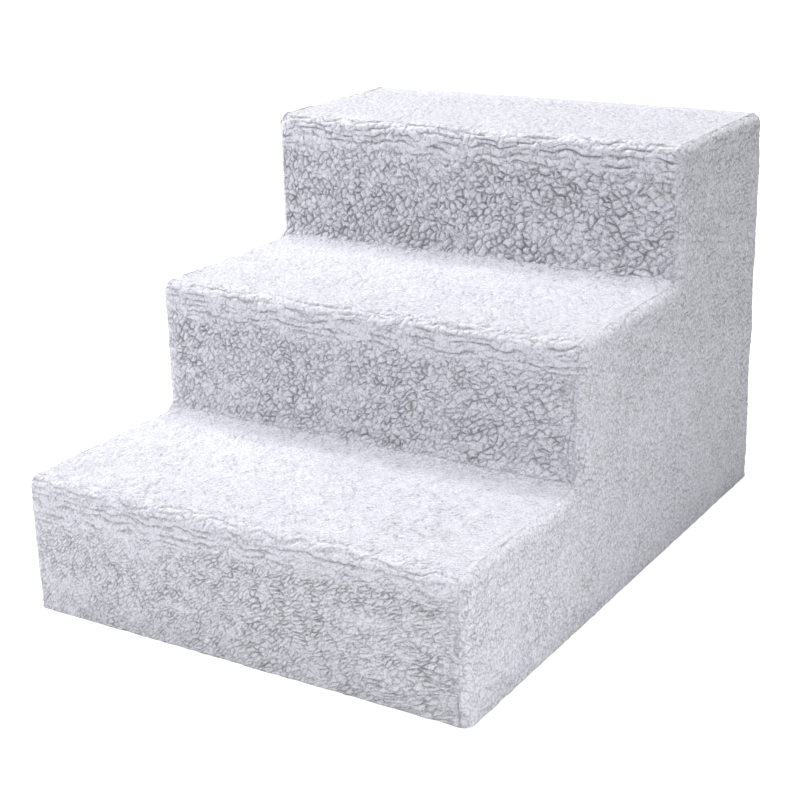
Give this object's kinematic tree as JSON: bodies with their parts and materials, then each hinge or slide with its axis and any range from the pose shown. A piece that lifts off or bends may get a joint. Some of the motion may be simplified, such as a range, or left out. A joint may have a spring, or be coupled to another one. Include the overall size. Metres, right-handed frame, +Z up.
{
  "type": "pet stairs",
  "caption": "Low stairs for a small pet: a tube frame with tread boards inside a zipped fleece cover, free-standing on the floor.",
  "frame": {"origin": "on the floor, below the middle of the stairs' width and depth", "axes": "+Z up; the lowest step faces -Y and the tall back faces +Y; +X to the right for someone who looks at the front"},
  "size_m": [0.35, 0.471, 0.3],
  "materials": {
    "fleece": "thick white pile in small curls, matt with a soft sheen",
    "base_cloth": "close plain weave with small raised grip dots",
    "zip_tape": "white woven tape with a nylon coil",
    "zip_metal": "nickel plated, lightly brushed",
    "tube_paint": "light grey powder coat, satin",
    "fitting_plastic": "dark grey moulded polypropylene, fine texture",
    "board_wood": "bare fibreboard, sanded faces and darker cut edges"
  },
  "bodies": {
    "stairs": {"foot_fitting_front_left": "fitting_plastic", "foot_fitting_front_right": "fitting_plastic", "foot_fitting_back_left": "fitting_plastic", "foot_fitting_back_right": "fitting_plastic", "nosing_fitting_1_left": "fitting_plastic", "nosing_fitting_1_right": "fitting_plastic", "nosing_fitting_2_left": "fitting_plastic", "nosing_fitting_2_right": "fitting_plastic", "nosing_fitting_3_left": "fitting_plastic", "nosing_fitting_3_right": "fitting_plastic", "inner_fitting_1_left": "fitting_plastic", "inner_fitting_1_right": "fitting_plastic", "inner_fitting_2_left": "fitting_plastic", "inner_fitting_2_right": "fitting_plastic", "top_fitting_back_left": "fitting_plastic", "top_fitting_back_right": "fitting_plastic", "floor_tees": "fitting_plastic", "tread_rail_1_left": "tube_paint", "tread_rail_1_right": "tube_paint", "tread_rail_2_left": "tube_paint", "tread_rail_2_right": "tube_paint", "tread_rail_3_left": "tube_paint", "tread_rail_3_right": "tube_paint", "post_1_left": "tube_paint", "post_1_right": "tube_paint", "post_2_lower_left": "tube_paint", "post_2_lower_right": "tube_paint", "post_2_upper_left": "tube_paint", "post_2_upper_right": "tube_paint", "post_3_lower_left": "tube_paint", "post_3_lower_right": "tube_paint", "post_3_upper_left": "tube_paint", "post_3_upper_right": "tube_paint", "post_4_left": "tube_paint", "post_4_right": "tube_paint", "floor_rail_left": "tube_paint", "floor_rail_right": "tube_paint", "cross_tube_floor_front": "tube_paint", "cross_tube_floor_back": "tube_paint", "cross_tube_nosing_1": "tube_paint", "cross_tube_nosing_2": "tube_paint", "cross_tube_nosing_3": "tube_paint", "cross_tube_inner_1": "tube_paint", "cross_tube_inner_2": "tube_paint", "cross_tube_top_back": "tube_paint", "tread_board_1": "board_wood", "tread_board_2": "board_wood", "tread_board_3": "board_wood", "board_clips": "fitting_plastic", "step_cover_1": "fleece", "step_cover_2": "fleece", "step_cover_3": "fleece", "side_cover_left": "fleece", "side_cover_right": "fleece", "back_flap": "fleece", "base_cloth": "base_cloth", "zip_half_body": "zip_tape", "zip_half_flap": "zip_tape"},
    "zip_slider": {"zip_slider": "zip_metal"},
    "zip_pull": {"zip_pull": "zip_metal"}
  },
  "joints": [
    {"name": "zip_slide", "type": "slide", "parent": "stairs", "child": "zip_slider", "axis": [0, 0, -1], "range_m": [0, 0.208], "deforming": ["zip_half_body", "zip_half_flap"]},
    {"name": "zip_pull_swing", "type": "hinge", "parent": "zip_slider", "child": "zip_pull", "pos_m": [0.148, 0.2335, 0.26035], "axis": [1, 0, 0], "range_deg": [0, 140]}
  ]
}
